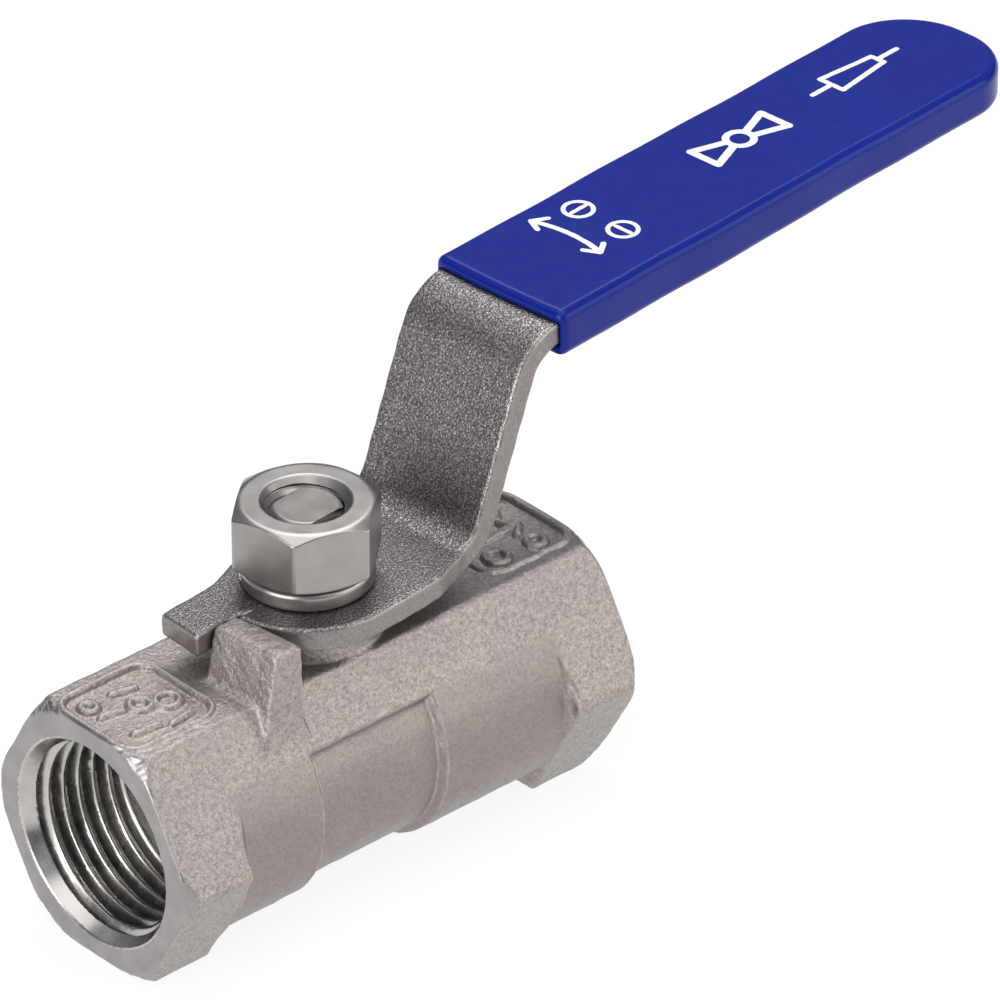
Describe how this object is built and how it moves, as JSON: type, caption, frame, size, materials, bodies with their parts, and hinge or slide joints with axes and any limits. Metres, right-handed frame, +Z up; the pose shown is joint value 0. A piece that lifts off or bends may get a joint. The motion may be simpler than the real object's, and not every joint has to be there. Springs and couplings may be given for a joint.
{
  "type": "ball valve",
  "caption": "Lever ball valve with a hexagon-ended cast steel body, internal pipe threads at both ends and a dipped grip sleeve on its bent plate lever.",
  "frame": {"origin": "centre of the ball, where the flow axis and the stem axis cross", "axes": "+X along the flow axis towards the outlet, which is also where the lever's grip points when the valve is open; +Z up along the stem axis, out through the nut; +Y completes a right-handed frame"},
  "size_m": [0.1199, 0.0304, 0.0506],
  "materials": {
    "cast_steel": "investment-cast stainless steel, blasted, with machined mouths and pipe threads",
    "ball_steel": "polished stainless steel",
    "machined_steel": "turned stainless steel",
    "lever_steel": "tumbled stainless steel plate with worn bright edges",
    "nut_steel": "bright stainless steel",
    "seat_plastic": "white PTFE, smooth",
    "sleeve_vinyl": "dipped blue vinyl, glossy"
  },
  "bodies": {
    "valve": {"valve_body": "cast_steel", "inlet_seat": "seat_plastic", "outlet_seat": "seat_plastic", "seat_retainer": "machined_steel", "retainer_gasket": "seat_plastic", "thrust_washer": "seat_plastic", "packing_ring_lower": "seat_plastic", "packing_ring_upper": "seat_plastic", "packing_gland": "machined_steel"},
    "ball": {"ball": "ball_steel"},
    "handle": {"stem": "machined_steel", "lever": "lever_steel", "spring_washer": "nut_steel", "stem_nut": "nut_steel", "lever_sleeve": "sleeve_vinyl"}
  },
  "joints": [
    {"name": "lever_turn", "type": "hinge", "parent": "valve", "child": "handle", "pos_m": [0, 0, 0], "axis": [0, 0, 1], "range_deg": [-90, 0]},
    {"name": "ball_turn", "type": "hinge", "parent": "valve", "child": "ball", "pos_m": [0, 0, 0], "axis": [0, 0, 1], "range_deg": [-90, 0]}
  ],
  "couplings": [
    {"joint": "ball_turn", "follows": "lever_turn", "ratio": 1}
  ]
}
